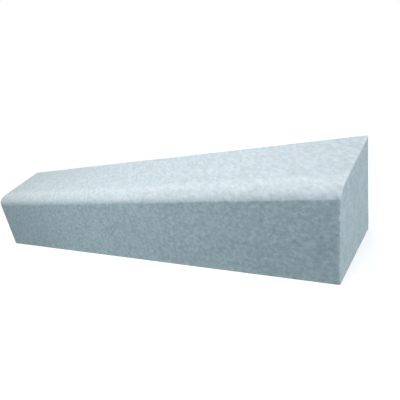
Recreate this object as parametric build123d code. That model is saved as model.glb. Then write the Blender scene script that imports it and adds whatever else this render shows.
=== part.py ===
from build123d import *
from math import radians, tan
import os

# Driving sizes in millimetres: X runs along the kerb, -Y faces the road, +Z is up
length = 1000
base_width = 180
front_batter = 25
front_height = 140
back_height = 165
nose_on_top = 34
nose_on_front = 14
nose_turn = 63
arris_radius = 2

# Corners of the section, drawn across the kerb with the bed on the ground
front_foot = Vector(-base_width / 2, 0)
back_foot = Vector(base_width / 2, 0)
back_top = Vector(base_width / 2, back_height)
front_top = front_foot + Vector(front_batter, front_height)

# The nose leaves the top in line with it, tightens as it falls and meets the road face at a crease
towards_back = (back_top - front_top).normalized()
off_top = towards_back.rotate(Axis.Z, 90)
down_road_face = (front_foot - front_top).normalized()
nose_start = front_top + towards_back * nose_on_top
nose_end = front_top + down_road_face * nose_on_front

# The shoulder is where the line of the top meets the line in which the nose ends
nose_drop = off_top.dot(nose_start - nose_end)
shoulder = nose_end + off_top * nose_drop + towards_back * (nose_drop / tan(radians(nose_turn)))

with BuildPart() as kerb:
    with BuildSketch(Plane.YZ):
        with BuildLine():
            Polyline(nose_end, front_foot, back_foot, back_top, nose_start)
            Bezier(nose_start, shoulder, nose_end)
        make_face()
    extrude(amount=length / 2, both=True)

    # Every sawn arris is eased by hand, while the two lines along the nose stay as cut
    end_arrises = kerb.edges().filter_by(Plane.YZ)
    long_arrises = kerb.edges().filter_by(Axis.X)
    foot_arrises = long_arrises.group_by(Axis.Z)[0]
    back_arris = long_arrises.group_by(Axis.Z)[-1]
    fillet(end_arrises + foot_arrises + back_arris, radius=arris_radius)

kerb_stone = kerb.part
kerb_stone.label = "kerb_stone"

os.makedirs("parts", exist_ok=True)
export_step(kerb_stone, "parts/kerb_stone.step")
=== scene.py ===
import math

import bpy
import numpy as np
from mathutils import Matrix, Vector


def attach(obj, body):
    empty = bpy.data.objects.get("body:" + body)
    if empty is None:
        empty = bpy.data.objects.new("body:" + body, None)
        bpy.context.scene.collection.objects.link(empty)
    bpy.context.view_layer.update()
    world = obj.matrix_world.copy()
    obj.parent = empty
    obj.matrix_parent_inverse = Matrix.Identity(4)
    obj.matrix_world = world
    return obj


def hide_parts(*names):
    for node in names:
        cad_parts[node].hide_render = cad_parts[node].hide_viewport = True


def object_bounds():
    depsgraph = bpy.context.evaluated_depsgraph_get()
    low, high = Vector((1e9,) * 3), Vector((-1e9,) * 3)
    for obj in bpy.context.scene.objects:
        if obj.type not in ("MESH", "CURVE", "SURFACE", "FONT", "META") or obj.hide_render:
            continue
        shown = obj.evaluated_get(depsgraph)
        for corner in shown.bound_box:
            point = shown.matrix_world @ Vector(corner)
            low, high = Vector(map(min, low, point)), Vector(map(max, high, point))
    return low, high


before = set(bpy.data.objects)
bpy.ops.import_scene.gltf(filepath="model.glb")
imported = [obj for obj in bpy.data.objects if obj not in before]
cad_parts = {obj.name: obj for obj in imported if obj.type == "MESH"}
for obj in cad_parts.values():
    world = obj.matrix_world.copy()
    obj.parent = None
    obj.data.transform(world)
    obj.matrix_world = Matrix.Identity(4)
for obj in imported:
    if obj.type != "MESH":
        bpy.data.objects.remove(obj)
CAD_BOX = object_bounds()

bl_info = {
    "name": "Natural stone kerb",
    "version": (1, 0, 0),
    "blender": (4, 5, 0),
    "location": "3D View > Sidebar > Kerb",
    "description": "Dresses a sawn granite kerb with its picked and sawn faces and sets it in a plain studio",
    "category": "Object",
}

# Names that tie the surface to the solid
NODE = "kerb_stone"
BODY = "root"
PIECE = "kerb_stone_surface"

# Mesh: rings on an end face and how they crowd outwards, columns round an end arris, steps in an arris radius
END_RINGS = 15
RING_CROWDING = 0.7
ARRIS_COLUMNS = 5
ARRIS_STEPS = 3

# Relief: share, wavelength in metres and seed of each layer, the waves in a layer, the spread of their
# lengths, and how far from an arris the relief has its full depth
TOOLED_WAVES = ((0.45, 0.022, 11), (0.35, 0.011, 12), (0.2, 0.0065, 13))
SAWN_WAVES = ((0.7, 0.06, 14), (0.3, 0.012, 15))
WAVE_COUNT = 56
WAVE_SPREAD = (0.75, 1.35)
STRAIGHT_MARGIN = 0.008

# Chips: spread of their lengths, before squaring, and of their depths, as shares of the largest
CHIP_LENGTHS = (0.3, 1.0)
CHIP_DEPTHS = (0.35, 1.0)

# End of the picking, with painted shade on the lowest part of the nose: share of the pale colour left at the
# crease, length of the fade, the ragged line, the overrun at the left
PALE_LEFT_IN_CREASE_SHADE = 0.55
CREASE_SHADE_FADE = 0.016
RAGGED_EDGE = 0.005
RAGGED_SIZE = 0.012
EDGE_BLUR = 0.0006
DROP_LIMIT = 0.03
PICKING_DRIFT = 0.006

# Painted highlight in a band along the nose, where the light falls brightest: distance from the crease, width
# and strength
BAND_PLACE = 0.032
BAND_WIDTH = 0.013
BAND_HIGHLIGHT = 0.45

# Bruised arrises: width, the depth of cut that bruises fully, size and limit of the patches
BRUISE_WIDTH = 0.0045
WORN_CUT = 0.001
BRUISE_SIZE = 0.014
BRUISE_LIMIT = 0.7

# Contrast of each layer of the granite on the sawn, the pale and the road finish
SPECK_CONTRAST = (0.06, 0.03, 0.06)
MICA_CONTRAST = (0.20, 0.10, 0.20)
MOTTLE_CONTRAST = (0.17, 0.20, 0.33)
DRIFT_CONTRAST = (0.15, 0.08, 0.07)
CLOUD_LOW, CLOUD_HIGH = 0.94, 1.06

# Flecks of mica: share of the cells that have one, and its core and rim as shares of a cell
MICA_SHARE = 0.3
MICA_CORE, MICA_RIM = 0.22, 0.42

# Fine surface: pits, the dip at a fleck, the bump on sawn and tooled faces, and the sheen
PIT_SIZE = 0.0045
FLECK_DIP = 0.3
BUMP_DEPTH = 0.0008
SAWN_BUMP, TOOLED_BUMP = 0.12, 0.45
SHEEN_SIZE = 0.006
ROUGHNESS_LOW, ROUGHNESS_HIGH = 0.62, 0.92
STONE_IOR = 1.5
STONE_SPECULAR = 0.3

# Floor and background: colours, the glow of the paper, the radii where it fades to white, and the soft light
WHITE = (1.0, 1.0, 1.0, 1.0)
PAPER_COLOUR = (0.93, 0.93, 0.93, 1.0)
THROWN_COLOUR = (0.33, 0.33, 0.33, 1.0)
PAPER_GLOW = 0.4
FADE_FROM, FADE_TO = 0.55, 1.0
FLOOR_SIDES = 96
SKY_COLOUR = (0.95, 1.0, 1.03, 1.0)
SKY_STRENGTH = 0.33
BACKDROP_STRENGTH = 1.0
CLIP_START = 0.01

# Lamps: place in metres, power in watts and width in metres
SOFTBOXES = {
    "key_lamp": ((0.16, -0.22, 1.13), 6.35, 0.75),
    "right_lamp": ((1.9, 0.0, 0.55), 11.2, 0.8),
    "road_lamp": ((-0.04, -0.68, 0.3), 0.89, 0.35),
    "back_lamp": ((-0.6, 1.5, 0.6), 10.0, 1.0),
    "left_lamp": ((-1.9, 0.1, 0.25), 6.0, 0.5),
}

# Sockets of a colour mix: share, first colour, second colour and result
MIX_SHARE, MIX_FIRST, MIX_SECOND, MIX_RESULT = 0, 6, 7, 2


class KerbShape(bpy.types.PropertyGroup):
    """Sizes of the stone's section and arrises."""

    length: bpy.props.FloatProperty(
        name="Length", description="Length along the road", default=1.0, unit="LENGTH")
    base_width: bpy.props.FloatProperty(
        name="Base width", description="Width of the bed", default=0.180, unit="LENGTH")
    front_batter: bpy.props.FloatProperty(
        name="Front batter", description="How far the road face leans back", default=0.025, unit="LENGTH")
    front_height: bpy.props.FloatProperty(
        name="Front height", description="Height of the unrounded road corner", default=0.140, unit="LENGTH")
    back_height: bpy.props.FloatProperty(
        name="Back height", description="Height of the upright back", default=0.165, unit="LENGTH")
    nose_on_top: bpy.props.FloatProperty(
        name="Nose on top", description="How far back on the top the nose starts", default=0.034,
        unit="LENGTH")
    nose_on_front: bpy.props.FloatProperty(
        name="Nose on front", description="How far down the road face the nose ends", default=0.014,
        unit="LENGTH")
    nose_turn: bpy.props.FloatProperty(
        name="Nose turn", description="How far the nose has turned from the top where it ends",
        default=math.radians(63), subtype="ANGLE")
    arris_radius: bpy.props.FloatProperty(
        name="Arris radius", description="Rounding of the eased arrises", default=0.002, unit="LENGTH")
    end_ease: bpy.props.FloatProperty(
        name="End ease", description="How far the end arrises round over", default=0.0018, unit="LENGTH")


class KerbRelief(bpy.types.PropertyGroup):
    """Depth and spacing of the tooled surface and of the wear on the arrises."""

    column_step: bpy.props.FloatProperty(
        name="Column step", description="Mesh spacing along the stone", default=0.0026, unit="LENGTH")
    tooled_step: bpy.props.FloatProperty(
        name="Tooled step", description="Mesh spacing across the tooled faces", default=0.0024, unit="LENGTH")
    nose_step: bpy.props.FloatProperty(
        name="Nose step", description="Mesh spacing round the nose", default=0.0016, unit="LENGTH")
    sawn_step: bpy.props.FloatProperty(
        name="Sawn step", description="Mesh spacing across the sawn faces", default=0.005, unit="LENGTH")
    tooled_depth: bpy.props.FloatProperty(
        name="Tooled depth", description="Depth of the tooled relief", default=0.0006, unit="LENGTH")
    sawn_depth: bpy.props.FloatProperty(
        name="Sawn depth", description="Depth of the sawn relief", default=0.0002, unit="LENGTH")
    chip_depth: bpy.props.FloatProperty(
        name="Chip depth", description="Deepest chip, from the sharp arris", default=0.0020, unit="LENGTH")
    chip_length: bpy.props.FloatProperty(
        name="Chip length", description="Half length of the longest chip", default=0.009, unit="LENGTH")
    chip_spacing: bpy.props.FloatProperty(
        name="Chip spacing", description="Mean distance between chips", default=0.045, unit="LENGTH")
    seed: bpy.props.IntProperty(
        name="Seed", description="Start of the random draws", default=7)


class KerbGranite(bpy.types.PropertyGroup):
    """Colours and grain of the granite."""

    pale_colour: bpy.props.FloatVectorProperty(
        name="Pale colour", description="Tooled top and nose", default=(0.62, 0.715, 0.757),
        subtype="COLOR", size=3)
    # Darker than the pale colour partly by its finish and partly by painted shade, as the road face turns
    # from the lamps
    road_colour_with_shade: bpy.props.FloatVectorProperty(
        name="Road colour", description="Tooled road face", default=(0.40, 0.525, 0.575),
        subtype="COLOR", size=3)
    sawn_colour: bpy.props.FloatVectorProperty(
        name="Sawn colour", description="Sawn ends, back and bed", default=(0.46, 0.57, 0.62),
        subtype="COLOR", size=3)
    # Wear on the bruised arrises, and a painted highlight where it lies in a band along the nose
    worn_and_highlight_colour: bpy.props.FloatVectorProperty(
        name="Worn colour", description="Bruised arrises and rubbed nose", default=(0.76, 0.85, 0.89),
        subtype="COLOR", size=3)
    grain_size: bpy.props.FloatProperty(
        name="Grain size", description="Size of a mineral grain", default=0.0021, unit="LENGTH")
    mica_size: bpy.props.FloatProperty(
        name="Mica spacing", description="Spacing of the places where a fleck of mica may lie",
        default=0.0026, unit="LENGTH")
    blotch_size: bpy.props.FloatProperty(
        name="Blotch size", description="Size of a cluster of grains", default=0.0065, unit="LENGTH")
    patch_size: bpy.props.FloatProperty(
        name="Patch size", description="Size of a patch of clusters", default=0.016, unit="LENGTH")
    cloud_size: bpy.props.FloatProperty(
        name="Cloud size", description="Size of the broad shifts of tone", default=0.16, unit="LENGTH")
    rift_slant: bpy.props.FloatProperty(
        name="Rift slant", description="Turn of the rift from the length of the stone",
        default=math.radians(137), subtype="ANGLE")
    rift_stretch: bpy.props.FloatProperty(
        name="Rift stretch", description="How many times longer the minerals are along the rift", default=1.9)


class KerbStudio(bpy.types.PropertyGroup):
    """Camera and floor."""

    camera_place: bpy.props.FloatVectorProperty(
        name="Camera place", description="Where the camera stands", default=(0.63113, -0.51235, 0.32540),
        subtype="TRANSLATION", size=3)
    camera_heading: bpy.props.FloatProperty(
        name="Heading", description="Turn of the view away from the back, to the right",
        default=math.radians(-43.342), subtype="ANGLE")
    camera_pitch: bpy.props.FloatProperty(
        name="Pitch", description="How far the view looks down", default=math.radians(30.839),
        subtype="ANGLE")
    camera_roll: bpy.props.FloatProperty(
        name="Roll", description="How far the camera leans to the right", default=math.radians(17.346),
        subtype="ANGLE")
    camera_lens: bpy.props.FloatProperty(
        name="Lens", description="Focal length in millimetres on a 36 mm sensor", default=30.774)
    camera_rise: bpy.props.FloatProperty(
        name="Rise", description="Vertical shift of the picture, as a share of its width", default=0.19)
    floor_radius: bpy.props.FloatProperty(
        name="Floor radius", description="Radius of the round floor", default=6.0, unit="LENGTH")


def unit(vector):
    """The vector divided by its length."""
    return vector / np.linalg.norm(vector)


def outward(direction):
    """The direction of travel turned a quarter turn to the left: outwards on an outline drawn clockwise."""
    return np.array([-direction[1], direction[0]])


def straight(start, end, step):
    """Evenly spaced points from start up to, but not on, end, with the outward normal of that line."""
    count = max(2, round(np.linalg.norm(end - start) / step))
    share = np.arange(count)[:, None] / count
    normals = np.tile(outward(unit(end - start)), (count, 1))
    return start + (end - start) * share, normals


def arc(centre, radius, first, last, step):
    """Points on the circle round centre from the normal first up to, but not on, the normal last."""
    begin = math.atan2(first[1], first[0])
    turn = math.acos(np.clip(first @ last, -1, 1)) * np.sign(first[0] * last[1] - first[1] * last[0])
    count = max(3, round(abs(turn) * radius / step))
    angle = begin + turn * np.arange(count) / count
    normals = np.stack([np.cos(angle), np.sin(angle)], axis=1)
    return centre + radius * normals, normals


def parabola(start, shoulder, end, step):
    """Points from start up to, but not on, end on the parabola whose end tangents meet at shoulder.

    The weights of the three points are (1 - t) squared, 2 t (1 - t) and t squared.
    """
    count = round((np.linalg.norm(shoulder - start) + np.linalg.norm(end - shoulder)) / step)
    t = np.arange(count)[:, None] / count
    points = start * (1 - t) ** 2 + shoulder * 2 * t * (1 - t) + end * t ** 2
    travel = (shoulder - start) * (1 - t) + (end - shoulder) * t
    travel /= np.linalg.norm(travel, axis=1)[:, None]
    return points, np.stack([-travel[:, 1], travel[:, 0]], axis=1)


def fillet(before, corner, after, radius):
    """Where a rounding of that radius at the corner between two points starts, its centre and its end."""
    inward, onward = unit(corner - before), unit(after - corner)
    reach = radius * math.tan(math.acos(np.clip(inward @ onward, -1, 1)) / 2)
    start, end = corner - inward * reach, corner + onward * reach
    return start, start - outward(inward) * radius, end


def section(shape, relief):
    """The stone's section, from the crease over the nose and the top, down the back, under the bed and up the
    road face: points, outward normals and finish, one row for each point, then the corners and the crease."""
    half = shape.base_width / 2
    front_foot, back_foot = np.array([-half, 0.0]), np.array([half, 0.0])
    back_top = np.array([half, shape.back_height])
    front_top = front_foot + np.array([shape.front_batter, shape.front_height])
    crease = front_top + unit(front_foot - front_top) * shape.nose_on_front
    nose_start = front_top + unit(back_top - front_top) * shape.nose_on_top

    # The nose leaves the top in line with it. At the crease it points at the shoulder, where both lines meet
    top_line = unit(back_top - front_top)
    top_normal = outward(top_line)
    drop = (nose_start - crease) @ top_normal
    shoulder = crease + top_normal * drop + top_line * drop / math.tan(shape.nose_turn)

    r = shape.arris_radius
    top_end, back_top_centre, back_start = fillet(front_top, back_top, back_foot, r)
    back_end, back_foot_centre, bed_start = fillet(back_top, back_foot, front_foot, r)
    bed_end, front_foot_centre, road_start = fillet(back_foot, front_foot, front_top, r)
    back_normal, bed_normal = np.array([1.0, 0.0]), np.array([0.0, -1.0])
    road_normal = outward(unit(front_top - front_foot))
    fine = r / ARRIS_STEPS
    near_crease = crease + unit(front_foot - crease) * fine

    stretches = [
        (parabola(crease, shoulder, nose_start, relief.nose_step), "pale"),
        (straight(nose_start, top_end, relief.tooled_step), "pale"),
        (arc(back_top_centre, r, top_normal, back_normal, fine), "pale"),
        (straight(back_start, back_end, relief.sawn_step), "sawn"),
        (arc(back_foot_centre, r, back_normal, bed_normal, fine), "sawn"),
        (straight(bed_start, bed_end, relief.sawn_step), "sawn"),
        (arc(front_foot_centre, r, bed_normal, road_normal, fine), "road"),
        (straight(road_start, near_crease, relief.tooled_step), "road"),
        (straight(near_crease, crease, fine), "road"),
    ]
    points = np.concatenate([line[0] for line, _ in stretches])
    normals = np.concatenate([line[1] for line, _ in stretches])
    finish = np.concatenate([np.full(len(line[0]), name) for line, name in stretches])
    return points, normals, finish, (back_top, back_foot, front_foot), crease


def columns_along(shape, relief):
    """Columns from the middle of one end face outwards, round its arris, along the stone and in to the middle
    of the other end: place along the stone, lean from upright, scale on the end face, inset from the side.

    A column leans a quarter turn on the end face and turns upright round the arris. There it lies the ease
    times (1 - sine of the lean) in from the end and the ease times (1 - cosine) in from the side.
    """
    half, ease = shape.length / 2, shape.end_ease
    rings = np.linspace(0, 1, END_RINGS, endpoint=False)[1:] ** RING_CROWDING
    turn = np.linspace(math.pi / 2, 0, ARRIS_COLUMNS, endpoint=False)
    end_lean = np.concatenate([np.full(len(rings), math.pi / 2), turn])
    end_scale = np.concatenate([rings, np.ones(ARRIS_COLUMNS)])
    end_x = half - ease * (1 - np.sin(end_lean))
    run = np.linspace(-half + ease, half - ease, round((shape.length - 2 * ease) / relief.column_step))
    upright = np.zeros(len(run))
    x = np.concatenate([-end_x, run, end_x[::-1]])
    lean = np.concatenate([-end_lean, upright, end_lean[::-1]])
    scale = np.concatenate([end_scale, upright + 1, end_scale[::-1]])
    return x, lean, scale, ease * (1 - np.cos(lean))


def waves(points, wavelength, seed):
    """A smooth random field: a sum of cosines with random directions and phases, squashed to 0..1."""
    draw = np.random.default_rng(seed)
    directions = draw.normal(size=(3, WAVE_COUNT))
    directions /= np.linalg.norm(directions, axis=0)
    directions *= 2 * math.pi / (wavelength * draw.uniform(*WAVE_SPREAD, WAVE_COUNT))
    phases = draw.uniform(0, 2 * math.pi, WAVE_COUNT)
    field = np.cos(points.reshape(-1, 3) @ directions + phases).sum(axis=1)
    return (0.5 + 0.5 * np.tanh(field / math.sqrt(WAVE_COUNT / 2))).reshape(points.shape[:-1])


def layered(points, layers):
    """The sum of several random fields, each times its share."""
    return sum(share * waves(points, wavelength, seed) for share, wavelength, seed in layers)


def chips(along, total, relief, draw):
    """Depth of the chips at each place along an arris: the deepest of parabolas of random length, depth and
    place."""
    count = max(1, round(total / relief.chip_spacing))
    places = draw.uniform(0, total, count)
    lengths = relief.chip_length * draw.uniform(*CHIP_LENGTHS, count) ** 2
    depths = relief.chip_depth * draw.uniform(*CHIP_DEPTHS, count)
    bowl = 1 - ((along[:, None] - places) / lengths) ** 2
    return (depths * np.clip(bowl, 0, None)).max(axis=1)


def stone_surface(shape, relief):
    """The whole stone as a grid of rows round the section and columns along the length.

    Each vertex is the section's point moved in along its normal by the column's inset, then shrunk towards
    the middle on the end faces, then cut by the chips and lowered by the relief.
    """
    points, normals, finish, corners, crease = section(shape, relief)
    x, lean, scale, inset = columns_along(shape, relief)
    draw = np.random.default_rng(relief.seed)
    half = shape.length / 2
    end_gap = half - np.abs(x)

    # Undisturbed surface and the way that it faces
    middle = points.mean(axis=0)
    outline = points - normals * inset[:, None, None]
    yz = middle + (outline - middle) * scale[:, None, None]
    grid = yz.shape[:2]
    base = np.dstack([np.broadcast_to(x[:, None], grid), yz])
    facing = np.dstack([np.broadcast_to(np.sin(lean)[:, None], grid), np.cos(lean)[:, None, None] * normals])
    surface = base.copy()
    cut = np.zeros(grid)

    # Chips on the end arrises, as flat cuts across the corner between the section and the end face
    steps = np.linalg.norm(np.roll(points, -1, axis=0) - points, axis=1)
    along = np.cumsum(steps) - steps
    from_arris = inset[:, None] + np.linalg.norm(outline - yz, axis=2) + end_gap[:, None]
    for side in (-1, 1):
        depth = chips(along, steps.sum(), relief, draw)
        amount = np.clip(depth - from_arris / math.sqrt(2), 0, None) * (np.sign(x) == side)[:, None]
        diagonal = np.dstack([np.full(grid, float(side)), np.broadcast_to(normals, yz.shape)]) / math.sqrt(2)
        surface -= diagonal * amount[..., None]
        cut += amount

    # Chips on the long arrises of the foot and the back
    for corner in corners:
        diagonal = unit(corner - middle)
        depth = chips(x + half, shape.length, relief, draw)
        amount = np.clip((surface[..., 1:] - corner) @ diagonal + depth[:, None], 0, None)
        surface[..., 1:] -= diagonal * amount[..., None]
        cut += amount

    # Relief of the tooled and the sawn faces, always lowering the surface
    side_face = np.broadcast_to((scale == 1)[:, None], grid)
    tooled = side_face & (finish != "sawn")
    rough = relief.tooled_depth * layered(base, TOOLED_WAVES)
    smooth = relief.sawn_depth * layered(base, SAWN_WAVES)
    from_corner = np.min([np.linalg.norm(yz - c, axis=2) for c in corners], axis=0)
    from_edge = np.minimum(from_arris, from_corner)
    lowering = np.where(tooled, rough, smooth) * np.clip(from_edge / STRAIGHT_MARGIN, 0, 1)
    surface -= facing * lowering[..., None]

    # Share of the tooling, distance below the end of the picking, bruised arrises and a band of painted
    # highlight along the nose. The picking ends at the crease on the right and runs a little over it towards
    # the left.
    from_crease = np.linalg.norm(points - crease, axis=1)
    highlight_band = np.exp(-((from_crease - BAND_PLACE) / BAND_WIDTH) ** 2) * (finish == "pale")
    overrun = PICKING_DRIFT * (0.5 - x / shape.length)
    drop = np.where(finish == "road", from_crease, -from_crease) - overrun[:, None]
    shares = {
        "tooled": tooled,
        "drop": np.clip(drop, -DROP_LIMIT, DROP_LIMIT),
        "worn": np.clip(1 - from_edge / BRUISE_WIDTH + cut / WORN_CUT, 0, 1),
        "nose": side_face * highlight_band,
    }
    poles = np.array([[-half, *middle], [half, *middle]])
    return surface, shares, poles


def closed_mesh(name, surface, shares, poles):
    """A mesh with a vertex for each place of the grid and a pole at each end, whose rows wrap round."""
    columns, rows = surface.shape[:2]
    index = np.arange(columns * rows).reshape(columns, rows)
    after = np.roll(index, -1, axis=1)
    quads = np.stack([index[:-1], index[1:], after[1:], after[:-1]], axis=-1).reshape(-1, 4)
    first_pole, last_pole = columns * rows, columns * rows + 1
    start = np.stack([np.full(rows, first_pole), index[0], after[0]], axis=-1)
    finish = np.stack([np.full(rows, last_pole), after[-1], index[-1]], axis=-1)
    triangles = np.concatenate([start, finish])

    mesh = bpy.data.meshes.new(name)
    places = np.concatenate([surface.reshape(-1, 3), poles])
    corners = np.concatenate([quads.ravel(), triangles.ravel()])
    sizes = np.concatenate([np.full(len(quads), 4), np.full(len(triangles), 3)])
    starts = np.concatenate([[0], np.cumsum(sizes)[:-1]])
    mesh.vertices.add(len(places))
    mesh.vertices.foreach_set("co", places.astype(np.float32).ravel())
    mesh.loops.add(len(corners))
    mesh.loops.foreach_set("vertex_index", corners.astype(np.int32))
    mesh.polygons.add(len(sizes))
    mesh.polygons.foreach_set("loop_start", starts.astype(np.int32))
    mesh.polygons.foreach_set("use_smooth", np.ones(len(sizes), bool))
    for share, values in shares.items():
        attribute = mesh.attributes.new(share, "FLOAT", "POINT")
        attribute.data.foreach_set("value", np.append(values.ravel(), [0, 0]).astype(np.float32))
    mesh.update()
    mesh.validate()
    return mesh


class NodeBoard:
    """Adds nodes to a tree: an input that is a socket is linked, any other value is set on the socket."""

    def __init__(self, tree):
        self.tree = tree
        tree.nodes.clear()

    def add(self, kind, inputs=None, **settings):
        """A new node of that kind with its settings and inputs."""
        node = self.tree.nodes.new(kind)
        for name, value in settings.items():
            setattr(node, name, value)
        for name, value in (inputs or {}).items():
            if isinstance(value, bpy.types.NodeSocket):
                self.tree.links.new(value, node.inputs[name])
            else:
                node.inputs[name].default_value = value
        return node

    def math(self, operation, first, second):
        """The result of that operation on two numbers."""
        return self.add("ShaderNodeMath", {0: first, 1: second}, operation=operation).outputs[0]

    def ramp(self, value, start, end, low=0.0, high=1.0):
        """The value, from start to end, spread between low and high, and held there outside."""
        ends = {"From Min": start, "From Max": end, "To Min": low, "To Max": high}
        return self.add("ShaderNodeMapRange", {"Value": value, **ends}).outputs["Result"]

    def blend(self, share, first, second, mode="MIX"):
        """The first colour, and that share of the second mixed into it."""
        inputs = {MIX_SHARE: share, MIX_FIRST: first, MIX_SECOND: second}
        return self.add("ShaderNodeMix", inputs, data_type="RGBA", blend_type=mode).outputs[MIX_RESULT]

    def share(self, name):
        """The mesh's own number of that name."""
        return self.add("ShaderNodeAttribute", attribute_name=name).outputs["Fac"]


class GraniteBoard(NodeBoard):
    """Nodes of the granite: its place along the rift, the shares of its finishes and its patterns."""

    def __init__(self, tree, granite):
        super().__init__(tree)

        # The minerals are drawn out along the rift of the block, which runs level and slants across the stone
        rift = self.add("ShaderNodeMapping", {
            "Vector": self.add("ShaderNodeTexCoord").outputs["Object"],
            "Rotation": (0.0, 0.0, granite.rift_slant),
            "Scale": (granite.rift_stretch, 1.0, 1.0)}, vector_type="TEXTURE")
        self.place = rift.outputs["Vector"]

        # Painted shade: the pale colour of the nose thins out towards the sawn colour near the crease, where
        # the nose turns from the light. The road finish begins at the crease in a ragged line
        self.tooled = self.share("tooled")
        drop = self.share("drop")
        ragged = self.math("SUBTRACT", self.noise(RAGGED_SIZE, detail=2.0), 0.5)
        shifted = self.math("ADD", drop, self.math("MULTIPLY", ragged, RAGGED_EDGE))
        self.road = self.math("MULTIPLY", self.tooled, self.ramp(shifted, -EDGE_BLUR, EDGE_BLUR))
        crease_shade = self.ramp(drop, 0.0, -CREASE_SHADE_FADE, low=PALE_LEFT_IN_CREASE_SHADE)
        self.pale = self.math("MULTIPLY", self.math("SUBTRACT", self.tooled, self.road), crease_shade)

    def noise(self, size, detail, output="Fac"):
        """Soft noise of that size."""
        inputs = {"Vector": self.place, "Scale": 1 / size, "Detail": detail}
        return self.add("ShaderNodeTexNoise", inputs).outputs[output]

    def cells(self, size):
        """Cells of that size with borders roughened by a fine warp."""
        ruffle = self.noise(size / 2, detail=1.0, output="Color")
        inputs = {0: ruffle, 1: (size,) * 3, 2: self.place}
        warp = self.add("ShaderNodeVectorMath", inputs, operation="MULTIPLY_ADD").outputs["Vector"]
        return self.add("ShaderNodeTexVoronoi", {"Vector": warp, "Scale": 1 / size})

    def random_tone(self, field):
        """One random number for each cell."""
        return self.add("ShaderNodeSeparateColor", {"Color": field.outputs["Color"]}).outputs["Red"]

    def by_finish(self, on_sawn, on_pale, on_road):
        """A number that differs between the sawn, the pale and the road finish."""
        pale_part = self.math("MULTIPLY", self.pale, on_pale - on_sawn)
        road_part = self.math("MULTIPLY", self.road, on_road - on_sawn)
        return self.math("ADD", self.math("ADD", pale_part, road_part), on_sawn)

    def around_one(self, value, contrast):
        """The value, from 0 to 1, as a factor that lies up to the finish's contrast below and above 1."""
        spread = self.by_finish(*contrast)
        low, high = self.math("SUBTRACT", 1.0, spread), self.math("ADD", 1.0, spread)
        return self.ramp(value, 0.0, 1.0, low, high)


def mica_flecks(board, granite):
    """1 in the middle of some cells, chosen at random, falling to 0 at the rim of the fleck."""
    mica = board.cells(granite.mica_size)
    chosen = board.math("GREATER_THAN", board.random_tone(mica), 1 - MICA_SHARE)
    near = board.ramp(mica.outputs["Distance"], MICA_CORE, MICA_RIM, low=1.0, high=0.0)
    return board.math("MULTIPLY", chosen, near)


def mineral_level(board, granite, fleck):
    """Brightness of the minerals: grains of one tone each, times soft clusters, patches and clouds, times the
    dark of the flecks."""
    speck = board.around_one(board.random_tone(board.cells(granite.grain_size)), SPECK_CONTRAST)
    mottle = board.around_one(board.noise(granite.blotch_size, detail=1.2), MOTTLE_CONTRAST)
    drift = board.around_one(board.noise(granite.patch_size, detail=1.0), DRIFT_CONTRAST)
    cloud = board.ramp(board.noise(granite.cloud_size, detail=2.0), 0.0, 1.0, CLOUD_LOW, CLOUD_HIGH)
    dark = board.math("SUBTRACT", 1.0, board.math("MULTIPLY", fleck, board.by_finish(*MICA_CONTRAST)))
    fine, broad = board.math("MULTIPLY", speck, mottle), board.math("MULTIPLY", drift, cloud)
    return board.math("MULTIPLY", board.math("MULTIPLY", fine, broad), dark)


def finish_colour(board, granite):
    """The sawn colour, covered by the road colour, which holds painted shade, and by the pale colour, which
    thins out to painted shade near the crease; then by the worn colour as a painted highlight along the nose
    and as wear on the arrises.
    """
    sawn, road, pale, worn = (
        (*colour, 1.0)
        for colour in (granite.sawn_colour, granite.road_colour_with_shade, granite.pale_colour, granite.worn_and_highlight_colour))
    # The road colour holds painted shade on the road face as well as the colour of its finish
    colour = board.blend(board.road, sawn, road)
    colour = board.blend(board.pale, colour, pale)
    # Painted highlight: the worn colour laid in a band along the nose, where the light falls brightest
    colour = board.blend(board.math("MULTIPLY", board.share("nose"), BAND_HIGHLIGHT), colour, worn)
    patches = board.ramp(board.noise(BRUISE_SIZE, detail=1.0), 0.0, 1.0, 0.0, BRUISE_LIMIT)
    return board.blend(board.math("MULTIPLY", board.share("worn"), patches), colour, worn)


def granite_material(granite):
    """Granite: a colour for each finish, with painted shade on the road face and near the crease and a
    painted highlight along the nose, mottled by soft clusters of pale and dark minerals and by grains.
    """
    material = bpy.data.materials.new("granite")
    material.use_nodes = True
    board = GraniteBoard(material.node_tree, granite)
    fleck = mica_flecks(board, granite)
    level = mineral_level(board, granite, fleck)
    dip = board.math("MULTIPLY", fleck, FLECK_DIP)
    bump = board.add("ShaderNodeBump", {
        "Strength": board.ramp(board.tooled, 0.0, 1.0, SAWN_BUMP, TOOLED_BUMP),
        "Distance": BUMP_DEPTH,
        "Height": board.math("SUBTRACT", board.noise(PIT_SIZE, detail=3.0), dip)})
    sheen = board.noise(SHEEN_SIZE, detail=2.0)
    shader = board.add("ShaderNodeBsdfPrincipled", {
        "Base Color": board.blend(1.0, finish_colour(board, granite), level, "MULTIPLY"),
        "Roughness": board.ramp(sheen, 0.0, 1.0, ROUGHNESS_LOW, ROUGHNESS_HIGH),
        "Normal": bump.outputs["Normal"],
        "IOR": STONE_IOR,
        "Specular IOR Level": STONE_SPECULAR})
    board.add("ShaderNodeOutputMaterial", {"Surface": shader.outputs["BSDF"]})
    return material


def seen_directly(board):
    """1 for camera, glossy and transmission rays, and 0 for the rays that only carry light."""
    path = board.add("ShaderNodeLightPath").outputs
    direct = board.math("MAXIMUM", path["Is Camera Ray"], path["Is Glossy Ray"])
    return board.math("MAXIMUM", direct, path["Is Transmission Ray"])


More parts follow.
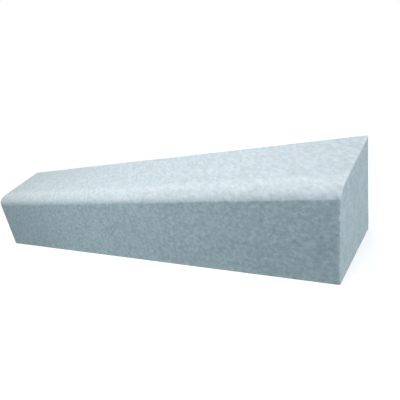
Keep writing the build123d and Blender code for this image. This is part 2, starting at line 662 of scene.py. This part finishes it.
def floor_material():
    """White paper that runs into the white backdrop, and a grey for the light that it throws at the stone."""
    material = bpy.data.materials.new("studio_floor")
    material.use_nodes = True
    board = NodeBoard(material.node_tree)
    place = board.add("ShaderNodeTexCoord").outputs["Object"]
    far = board.add("ShaderNodeVectorMath", {0: place}, operation="LENGTH").outputs["Value"]
    fade = board.ramp(far, FADE_FROM, FADE_TO)
    paper = board.add("ShaderNodeBsdfDiffuse", {"Color": PAPER_COLOUR})
    glow = board.add("ShaderNodeEmission", {"Color": WHITE, "Strength": PAPER_GLOW})
    backdrop = board.add("ShaderNodeEmission", {"Color": WHITE, "Strength": BACKDROP_STRENGTH})
    near = board.add("ShaderNodeAddShader", {0: paper.outputs[0], 1: glow.outputs[0]})
    seen = board.add("ShaderNodeMixShader", {0: fade, 1: near.outputs[0], 2: backdrop.outputs[0]})
    thrown = board.add("ShaderNodeBsdfDiffuse", {"Color": THROWN_COLOUR})
    direct = seen_directly(board)
    mix = board.add("ShaderNodeMixShader", {0: direct, 1: thrown.outputs[0], 2: seen.outputs[0]})
    board.add("ShaderNodeOutputMaterial", {"Surface": mix.outputs[0]})
    return material


def studio_world():
    """Soft cool light from all round, and plain white where it is seen directly."""
    world = bpy.data.worlds.new("studio")
    world.use_nodes = True
    board = NodeBoard(world.node_tree)
    light = board.add("ShaderNodeBackground", {"Color": SKY_COLOUR, "Strength": SKY_STRENGTH})
    white = board.add("ShaderNodeBackground", {"Color": WHITE, "Strength": BACKDROP_STRENGTH})
    direct = seen_directly(board)
    mix = board.add("ShaderNodeMixShader", {0: direct, 1: light.outputs[0], 2: white.outputs[0]})
    board.add("ShaderNodeOutputWorld", {"Surface": mix.outputs[0]})
    return world


def studio_floor(radius):
    """A level round floor: one face with its corners evenly spaced on the circle of that radius."""
    angle = np.linspace(0, 2 * math.pi, FLOOR_SIDES, endpoint=False)
    rim = radius * np.stack([np.cos(angle), np.sin(angle), 0 * angle], axis=1)
    mesh = bpy.data.meshes.new("studio_floor")
    mesh.from_pydata(rim.tolist(), [], [list(range(FLOOR_SIDES))])
    mesh.materials.append(floor_material())
    return bpy.data.objects.new("studio_floor", mesh)


def softbox(name, place, power, width):
    """A square lamp of that width at place, turned to the middle of the stone."""
    lamp = bpy.data.lights.new(name, "AREA")
    lamp.energy = power
    lamp.size = width
    body = bpy.data.objects.new(name, lamp)
    aim = Vector(place) - (CAD_BOX[0] + CAD_BOX[1]) / 2
    body.location = place
    body.rotation_euler = aim.to_track_quat("Z", "Y").to_euler()
    return body


def studio_camera(studio):
    """The camera at its place, turned by its heading, then its pitch, then its roll."""
    camera = bpy.data.cameras.new("camera")
    camera.lens = studio.camera_lens
    camera.shift_y = studio.camera_rise
    camera.clip_start = CLIP_START
    stand = bpy.data.objects.new("camera", camera)
    stand.matrix_world = (
        Matrix.Translation(studio.camera_place)
        @ Matrix.Rotation(-studio.camera_heading, 4, "Z")
        @ Matrix.Rotation(math.pi / 2 - studio.camera_pitch, 4, "X")
        @ Matrix.Rotation(-studio.camera_roll, 4, "Z"))
    return stand


class KERB_OT_stone(bpy.types.Operator):
    """Make the granite surface that stands for the kerb stone"""

    bl_idname = "kerb.stone"
    bl_label = "Kerb stone"

    def execute(self, context):
        scene = context.scene
        surface, shares, poles = stone_surface(scene.kerb_shape, scene.kerb_relief)
        mesh = closed_mesh(PIECE, surface, shares, poles)
        mesh.materials.append(granite_material(scene.kerb_granite))
        piece = bpy.data.objects.new(PIECE, mesh)
        scene.collection.objects.link(piece)
        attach(piece, BODY)
        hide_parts(NODE)
        return {"FINISHED"}


class KERB_OT_studio(bpy.types.Operator):
    """Set the floor, the lamps, the background and the camera"""

    bl_idname = "kerb.studio"
    bl_label = "Studio"

    def execute(self, context):
        scene = context.scene
        studio = scene.kerb_studio
        floor = studio_floor(studio.floor_radius)
        scene.collection.objects.link(floor)
        scene.world = studio_world()
        for name, (place, power, width) in SOFTBOXES.items():
            scene.collection.objects.link(softbox(name, place, power, width))
        scene.camera = studio_camera(studio)
        scene.collection.objects.link(scene.camera)
        scene.view_settings.view_transform = "Standard"
        return {"FINISHED"}


class KERB_PT_panel(bpy.types.Panel):
    """Sizes, colours and steps of the kerb"""

    bl_label = "Natural stone kerb"
    bl_idname = "KERB_PT_panel"
    bl_space_type = "VIEW_3D"
    bl_region_type = "UI"
    bl_category = "Kerb"

    def draw(self, context):
        for group in GROUPS:
            settings = getattr(context.scene, group)
            box = self.layout.box()
            for name in settings.__annotations__:
                box.prop(settings, name)
        for operator in STEPS:
            self.layout.operator(operator)


GROUPS = {
    "kerb_shape": KerbShape,
    "kerb_relief": KerbRelief,
    "kerb_granite": KerbGranite,
    "kerb_studio": KerbStudio,
}
STEPS = ("kerb.stone", "kerb.studio")
CLASSES = (*GROUPS.values(), KERB_OT_stone, KERB_OT_studio, KERB_PT_panel)


def register():
    for cls in CLASSES:
        bpy.utils.register_class(cls)
    for name, group in GROUPS.items():
        setattr(bpy.types.Scene, name, bpy.props.PointerProperty(type=group))


def unregister():
    for name in GROUPS:
        delattr(bpy.types.Scene, name)
    for cls in reversed(CLASSES):
        bpy.utils.unregister_class(cls)


def main():
    register()
    bpy.ops.kerb.stone()
    bpy.ops.kerb.studio()


if __name__ == "__main__":
    main()
